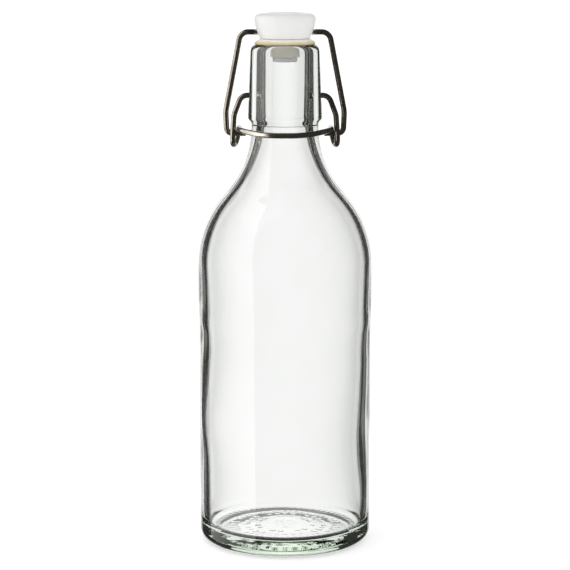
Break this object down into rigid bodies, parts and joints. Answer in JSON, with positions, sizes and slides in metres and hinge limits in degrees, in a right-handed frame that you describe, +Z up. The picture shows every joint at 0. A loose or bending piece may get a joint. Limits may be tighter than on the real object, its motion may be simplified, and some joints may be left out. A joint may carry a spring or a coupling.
{
  "type": "swing-top bottle",
  "caption": "Clear glass swing-top bottle with a bail-held stopper, rubber gasket and an over-centre lever that clamps it shut.",
  "frame": {"origin": "centre of the ring the bottle stands on, on the standing plane", "axes": "+Z up along the bottle's axis; the closure's pins lie along X; the lever's thumb arc is at -Y, the front"},
  "size_m": [0.0756, 0.0756, 0.2319],
  "materials": {
    "clear_glass": "clear, polished, very slightly green where thick",
    "stopper_plastic": "satin white",
    "gasket_rubber": "cream, matte",
    "bail_steel": "drawn wire, darkened",
    "lever_steel": "drawn wire, thumb arc rubbed brighter"
  },
  "bodies": {
    "bottle": {"glass_bottle": "clear_glass"},
    "lever": {"lever_wire": "lever_steel"},
    "bail": {"bail_wire": "bail_steel"},
    "stopper": {"stopper_head": "stopper_plastic", "gasket": "gasket_rubber"}
  },
  "joints": [
    {"name": "lever_swing", "type": "hinge", "parent": "bottle", "child": "lever", "pos_m": [0, 0, 0.19608], "axis": [-1, 0, 0], "range_deg": [0, 180]},
    {"name": "bail_swing", "type": "hinge", "parent": "lever", "child": "bail", "pos_m": [0, 0.001, 0.17958], "axis": [-1, 0, 0], "range_deg": [-119, 0]},
    {"name": "stopper_tilt", "type": "hinge", "parent": "bail", "child": "stopper", "pos_m": [0, 0, 0.22328], "axis": [-1, 0, 0], "range_deg": [-61.4, 0]}
  ],
  "couplings": [
    {"joint": "bail_swing", "follows": "lever_swing", "ratio": -0.66},
    {"joint": "stopper_tilt", "follows": "lever_swing", "ratio": -0.34}
  ]
}
